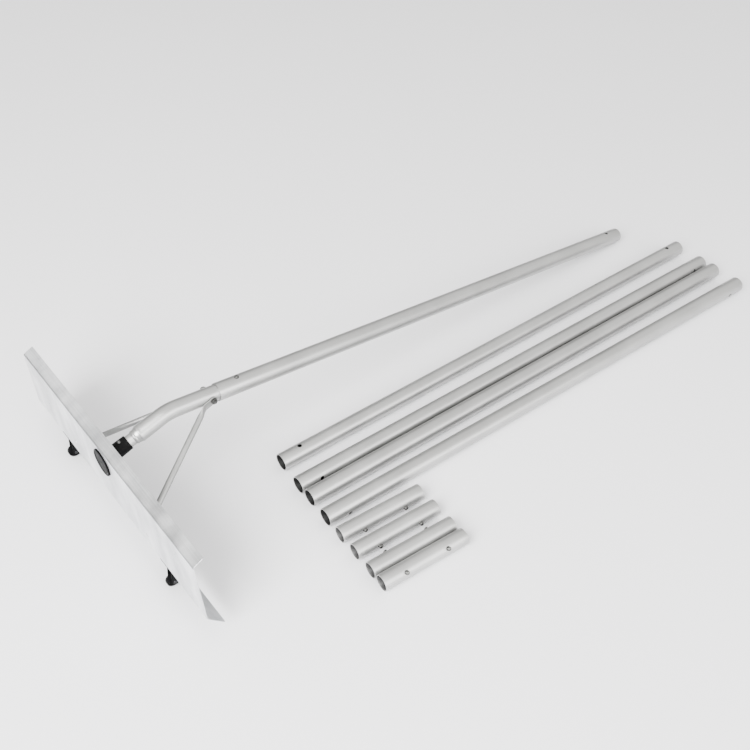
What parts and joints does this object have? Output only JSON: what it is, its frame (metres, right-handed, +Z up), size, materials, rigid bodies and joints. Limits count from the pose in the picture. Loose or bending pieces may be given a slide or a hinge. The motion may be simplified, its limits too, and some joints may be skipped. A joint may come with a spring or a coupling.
{
  "type": "snow roof rake",
  "caption": "Folded aluminium snow rake blade with rollers, hub and braced neck, its first pole fitted, and loose pole sections and snap-button couplers laid beside it.",
  "frame": {"origin": "middle of the kit's footprint, on the floor that it rests on", "axes": "+X from the blade along the fitted pole, +Y along the blade to the side without loose pieces, +Z up"},
  "size_m": [1.5098, 0.7906, 0.2046],
  "materials": {
    "blade_sheet": "bright rolled sheet, satin",
    "tube_alloy": "drawn tube, fine lengthwise grain",
    "black_plastic": "moulded, fine texture",
    "roller_plastic": "moulded, smooth tread",
    "zinc_steel": "bright zinc plate",
    "rivet_alloy": "satin"
  },
  "bodies": {
    "rake": {"blade": "blade_sheet", "hub_cap": "black_plastic", "hub_socket": "black_plastic", "hub_screws": "zinc_steel", "neck_screw": "zinc_steel", "neck_tube": "tube_alloy", "neck_clip": "zinc_steel", "brace_left": "tube_alloy", "brace_right": "tube_alloy", "brace_bolt": "zinc_steel", "brace_nut": "zinc_steel", "foot_bolts": "rivet_alloy", "foot_nuts": "zinc_steel", "roller_bracket_left": "black_plastic", "roller_bracket_right": "black_plastic", "bracket_rivets": "rivet_alloy", "axle_left": "zinc_steel", "axle_right": "zinc_steel", "pole_1": "tube_alloy"},
    "roller_left": {"roller_left": "roller_plastic"},
    "roller_right": {"roller_right": "roller_plastic"},
    "neck_button": {"neck_button": "zinc_steel"},
    "pole_2": {"pole_2": "tube_alloy"},
    "pole_3": {"pole_3": "tube_alloy"},
    "pole_4": {"pole_4": "tube_alloy"},
    "pole_5": {"pole_5": "tube_alloy"},
    "coupler_1": {"coupler_1": "tube_alloy", "coupler_1_clips": "zinc_steel"},
    "coupler_1_button_near": {"coupler_1_button_near": "zinc_steel"},
    "coupler_1_button_far": {"coupler_1_button_far": "zinc_steel"},
    "coupler_2": {"coupler_2": "tube_alloy", "coupler_2_clips": "zinc_steel"},
    "coupler_2_button_near": {"coupler_2_button_near": "zinc_steel"},
    "coupler_2_button_far": {"coupler_2_button_far": "zinc_steel"},
    "coupler_3": {"coupler_3": "tube_alloy", "coupler_3_clips": "zinc_steel"},
    "coupler_3_button_near": {"coupler_3_button_near": "zinc_steel"},
    "coupler_3_button_far": {"coupler_3_button_far": "zinc_steel"},
    "coupler_4": {"coupler_4": "tube_alloy", "coupler_4_clips": "zinc_steel"},
    "coupler_4_button_near": {"coupler_4_button_near": "zinc_steel"},
    "coupler_4_button_far": {"coupler_4_button_far": "zinc_steel"}
  },
  "joints": [
    {"name": "roller_left_spin", "type": "hinge", "parent": "rake", "child": "roller_left", "pos_m": [-0.74144, 0.26379, 0.0135], "axis": [0, 1, 0], "continuous": true},
    {"name": "roller_right_spin", "type": "hinge", "parent": "rake", "child": "roller_right", "pos_m": [-0.74144, -0.12521, 0.0135], "axis": [0, 1, 0], "continuous": true},
    {"name": "neck_button_press", "type": "slide", "parent": "rake", "child": "neck_button", "axis": [-0.1327, 0, -0.9912], "range_m": [0, 0.005], "stiffness_N_per_m": 1500, "springref_m": -0.002},
    {"name": "pole_2_lift", "type": "slide", "parent": "rake", "child": "pole_2", "axis": [0, 0, 1], "range_m": [0, 0.3]},
    {"name": "pole_3_lift", "type": "slide", "parent": "rake", "child": "pole_3", "axis": [0, 0, 1], "range_m": [0, 0.3]},
    {"name": "pole_4_lift", "type": "slide", "parent": "rake", "child": "pole_4", "axis": [0, 0, 1], "range_m": [0, 0.3]},
    {"name": "pole_5_lift", "type": "slide", "parent": "rake", "child": "pole_5", "axis": [0, 0, 1], "range_m": [0, 0.3]},
    {"name": "coupler_1_lift", "type": "slide", "parent": "rake", "child": "coupler_1", "axis": [0, 0, 1], "range_m": [0, 0.3]},
    {"name": "coupler_1_button_near_press", "type": "slide", "parent": "coupler_1", "child": "coupler_1_button_near", "axis": [0.0906, 0.9953, -0.0349], "range_m": [0, 0.005], "stiffness_N_per_m": 1500, "springref_m": -0.002},
    {"name": "coupler_1_button_far_press", "type": "slide", "parent": "coupler_1", "child": "coupler_1_button_far", "axis": [0.0906, 0.9953, -0.0349], "range_m": [0, 0.005], "stiffness_N_per_m": 1500, "springref_m": -0.002},
    {"name": "coupler_2_lift", "type": "slide", "parent": "rake", "child": "coupler_2", "axis": [0, 0, 1], "range_m": [0, 0.3]},
    {"name": "coupler_2_button_near_press", "type": "slide", "parent": "coupler_2", "child": "coupler_2_button_near", "axis": [0.0884, 0.9906, -0.1045], "range_m": [0, 0.005], "stiffness_N_per_m": 1500, "springref_m": -0.002},
    {"name": "coupler_2_button_far_press", "type": "slide", "parent": "coupler_2", "child": "coupler_2_button_far", "axis": [0.0884, 0.9906, -0.1045], "range_m": [0, 0.005], "stiffness_N_per_m": 1500, "springref_m": -0.002},
    {"name": "coupler_3_lift", "type": "slide", "parent": "rake", "child": "coupler_3", "axis": [0, 0, 1], "range_m": [0, 0.3]},
    {"name": "coupler_3_button_near_press", "type": "slide", "parent": "coupler_3", "child": "coupler_3_button_near", "axis": [-0.092, -0.9919, 0.0872], "range_m": [0, 0.005], "stiffness_N_per_m": 1500, "springref_m": -0.002},
    {"name": "coupler_3_button_far_press", "type": "slide", "parent": "coupler_3", "child": "coupler_3_button_far", "axis": [-0.092, -0.9919, 0.0872], "range_m": [0, 0.005], "stiffness_N_per_m": 1500, "springref_m": -0.002},
    {"name": "coupler_4_lift", "type": "slide", "parent": "rake", "child": "coupler_4", "axis": [0, 0, 1], "range_m": [0, 0.3]},
    {"name": "coupler_4_button_near_press", "type": "slide", "parent": "coupler_4", "child": "coupler_4_button_near", "axis": [0.0734, 0.7625, -0.6428], "range_m": [0, 0.005], "stiffness_N_per_m": 1500, "springref_m": -0.002},
    {"name": "coupler_4_button_far_press", "type": "slide", "parent": "coupler_4", "child": "coupler_4_button_far", "axis": [0.0734, 0.7625, -0.6428], "range_m": [0, 0.005], "stiffness_N_per_m": 1500, "springref_m": -0.002}
  ]
}
